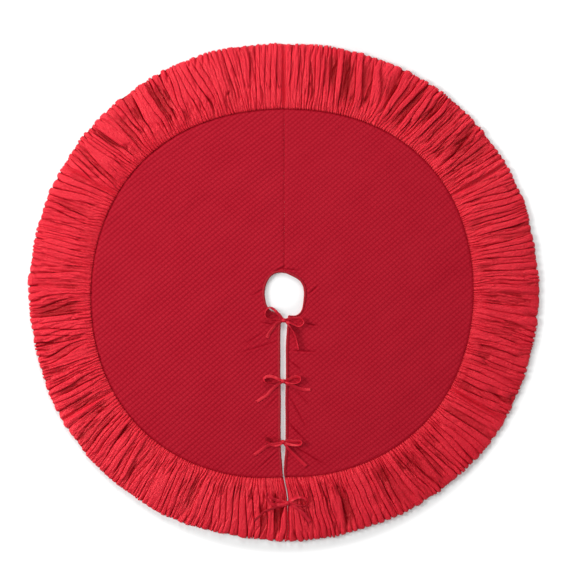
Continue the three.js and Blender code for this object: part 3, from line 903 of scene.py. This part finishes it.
def strand(points, knot, ground, lift):
    """A strand of ribbon along (x, y, lean) points from a knot, resting on the ground below it.

    Returns vertices, faces and uv of a thin closed strip, cupped a little across its width."""
    placed = [(knot[0] + x * MM, knot[1] + y * MM, lean) for x, y, lean in points]
    line, places = smooth_line(placed, 1.6 * MM)
    tangent = np.gradient(line[:, :2], axis=0)
    tangent /= np.linalg.norm(tangent, axis=1, keepdims=True)
    aside = np.stack([-tangent[:, 1], tangent[:, 0]], -1)
    if aside[:, 1].mean() < 0:
        aside = -aside
    lean = line[:, 2] * math.pi / 2
    half = RIBBON_WIDTH / 2
    under = []
    for (x, y, _), across, tilt in zip(line, aside, lean):
        reach = half * math.cos(tilt)
        under.append(max(ground.height(x + across[0] * k * reach, y + across[1] * k * reach)
                         for k in (-1, -0.5, 0, 0.5, 1)))
    under = np.array(under)
    widest = np.array([under[max(0, i - 3):i + 4].max() for i in range(len(under))])
    rest = np.convolve(np.pad(widest, 4, mode="edge"), soft_kernel(9), "valid")
    centre = rest + half * np.sin(lean) + RIBBON_THICKNESS + 0.25 * MM
    from_knot = np.linalg.norm(line[:, :2] - np.array(knot[:2]), axis=1)
    centre = mix(np.maximum(knot[2], rest + 1.2 * MM), centre, smooth(from_knot, 2 * MM, 16 * MM))
    centre += lift * MM * smooth(from_knot, 8 * MM, 30 * MM)
    ring = [(k, 0.5) for k in np.linspace(-1, 1, 7)] + [(k, -0.5) for k in np.linspace(1, -1, 7)]
    verts, uv = [], []
    for (x, y, _), across, tilt, z, place in zip(line, aside, lean, centre, places):
        wide = np.array([across[0] * math.cos(tilt), across[1] * math.cos(tilt), math.sin(tilt)])
        thick = np.array([-across[0] * math.sin(tilt), -across[1] * math.sin(tilt), math.cos(tilt)])
        pinch = mix(0.68, 1, float(smooth(math.hypot(x - knot[0], y - knot[1]), 4 * MM, 18 * MM)))
        for k, level in ring:
            cup = 0.5 * MM * (1 - k * k) * (0.4 + pinch) - 0.3 * MM
            verts.append(np.array([x, y, z]) + wide * k * half * pinch
                         + thick * (level * RIBBON_THICKNESS + cup))
            uv.append((place, k * half))
    return verts, closed_tube_faces(len(line), len(ring)), uv


def knot_wrap(knot):
    """The wrapped middle of a bow: a squashed ball with the creases of ribbon pulled round it."""
    rows, columns = 15, 24
    verts, uv = [], []
    for i in range(rows):
        polar = math.pi * (i + 0.5) / rows
        for j in range(columns):
            turn = 2 * math.pi * j / columns
            x, y, z = math.cos(polar), math.sin(polar) * math.cos(turn), math.sin(polar) * math.sin(turn)
            slant = x + 0.35 * y
            crease = 1 - 0.10 * max(0.0, 1 - abs(math.sin(5.2 * slant)) * 3) - 0.05 * math.sin(11 * slant)
            square = 1 / max(abs(x), 0.72) * 0.78
            radii = [k * crease for k in KNOT_RADII]
            away = x * KNOT_RADII[0] * square, y * radii[1], z * radii[2]
            verts.append([a + b for a, b in zip(knot, away)])
            uv.append((turn * 4 * MM, polar * 4 * MM))
    return verts, closed_tube_faces(rows, columns), uv


def ribbon(side_name, number, ground):
    """One ribbon of a bow: its sewn end, its loop and its tail, and on the left the wrapped knot."""
    side = SIDES[side_name]
    distance = FIRST_BOW + (LAST_BOW - FIRST_BOW) * (number - 1) / (len(BOWS) - 1)
    x, y = slit_middle(-distance)
    beside = 12 * MM
    level = max(ground.height(x + k * beside, y) for k in (-1, -0.6, 0.6, 1))
    above, clear = (2.8, 2.0) if distance > SEAM_RADIUS else (2.6, 0.0)
    knot = (x, y, level + above * MM)
    loop, tail = BOWS[number - 1][side_name]
    sewn = (float(slit_half(distance)) + 5 * MM) / MM
    end = [(side * sewn, 1.5, 0.0), (side * sewn * 0.5, 1.0, 0.1), (side * 2, 0, 0.2)]
    parts = [strand(end, knot, ground, 0.0), strand(loop, knot, ground, 1.0 + clear),
             strand(tail, knot, ground, 0.3 + clear)]
    if side < 0:
        parts.append(knot_wrap(knot))
    verts, faces, uv = [], [], []
    for part_verts, part_faces, part_uv in parts:
        start = len(verts)
        verts += list(part_verts)
        uv += list(part_uv)
        faces += [[k + start for k in f] for f in part_faces]
    return make_piece(f"ribbon_{side_name}_{number}_satin", verts, faces, RIBBON, uv)


surface = []
for side_name, side in SIDES.items():
    face = quilted_face(side_name, side)
    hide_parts(f"quilted_face_{side_name}")
    under = lining(side_name, side)
    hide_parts(f"lining_{side_name}")
    fibre = batting(side_name, side)
    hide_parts(f"batting_{side_name}")
    path, into, split = opening_path(side)
    rim = binding(f"hole_binding_{side_name}_satin", side, path[:split + 1], into[:split + 1], 61)
    edge = binding(f"slit_binding_{side_name}_satin", side, path[split:], into[split:], 63)
    for piece, kind, line in ((rim, "hole_binding", path[:split + 1]), (edge, "slit_binding", path[split:])):
        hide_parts(f"{kind}_{side_name}")
    sewing = stitches(f"binding_stitches_{side_name}", side, path, into, BINDING_WIDTH - 1.0 * MM, 3.4 * MM)
    for piece in (face, under, fibre, rim, edge, sewing):
        bend_at_fold(piece)
    surface += [face, rim, edge]
    for index, where in enumerate(STRIP_NAMES):
        strip = ruffle_strip(side_name, side, index)
        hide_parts(f"ruffle_{side_name}_{where}")
        if where == "middle":
            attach(strip, f"{side_name}_half")
        else:
            bend_at_fold(strip)
            surface.append(strip)

ground = Ground(surface)
for number in range(1, len(BOWS) + 1):
    for side_name in SIDES:
        tie = ribbon(side_name, number, ground)
        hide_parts(f"ribbon_{side_name}_{number}")
        bend_at_fold(tie)


# ---------------------------------------------------------------- floor, light and camera
def floor():
    """A white floor that glows a little round the skirt and in the trunk hole, so that it stays white there."""
    size = 12.0
    corners = [(-size, -size, 0), (size, -size, 0), (size, size, 0), (-size, size, 0)]
    mesh = bpy.data.meshes.new("floor")
    mesh.from_pydata(corners, [], [(0, 1, 2, 3)])
    made = Surface("floor_white")
    where = made.add("TexCoord", {}, output="Object")
    distance = made.add("VectorMath", {0: where}, output="Value", operation="LENGTH")
    glows = []
    for start, end, strength in ((SKIRT_RADIUS - 4 * MM, SKIRT_RADIUS + 44 * MM, 0.55),
                                 (HOLE_RADIUS, HOLE_RADIUS * 0.3, 0.25)):
        glows.append(made.add("MapRange", {"Value": distance, "From Min": start, "From Max": end,
                                           "To Max": strength}, interpolation_type="SMOOTHSTEP"))
    made.feed(made.shader, {
        "Base Color": (0.86, 0.86, 0.86, 1), "Roughness": 0.9, "Specular IOR Level": 0.1,
        "Emission Color": (1, 1, 1, 1), "Emission Strength": made.math("ADD", *glows)})
    mesh.materials.append(made.material)
    piece = bpy.data.objects.new("floor", mesh)
    bpy.context.scene.collection.objects.link(piece)


def lamp(name, place, power, size):
    data = bpy.data.lights.new(name, "AREA")
    data.energy = power
    data.shape = "DISK"
    data.size = size
    made = bpy.data.objects.new(name, data)
    made.location = place
    made.rotation_mode = "QUATERNION"
    made.rotation_quaternion = (-Vector(place)).to_track_quat("-Z", "Y")
    made.visible_camera = False
    bpy.context.scene.collection.objects.link(made)


def studio():
    """Soft light from above, with lower lamps to the left, beyond the top and, weaker, to the right."""
    floor()
    lamp("overhead", (-0.5, 0.5, 5.0), 82, 2.6)
    lamp("left", (-4.2, 0.5, 2.1), 184, 1.8)
    lamp("top", (-0.2, 4.0, 2.1), 101, 1.6)
    lamp("right", (3.4, -2.6, 2.6), 33, 2.6)
    world = bpy.data.worlds.new("studio")
    world.use_nodes = True
    background = world.node_tree.nodes["Background"]
    background.inputs["Color"].default_value = (1, 1, 1, 1)
    background.inputs["Strength"].default_value = 0.14
    bpy.context.scene.world = world
    bpy.context.scene.view_settings.view_transform = "Standard"


def camera():
    """Straight above, far enough away that the skirt shows no perspective."""
    width_seen, height = 1.725, 6.0
    data = bpy.data.cameras.new("camera")
    data.sensor_width = 36
    data.lens = data.sensor_width * height / width_seen
    made = bpy.data.objects.new("camera", data)
    made.location = (0.0170, 0.0072, height)
    bpy.context.scene.collection.objects.link(made)
    bpy.context.scene.camera = made


studio()
camera()
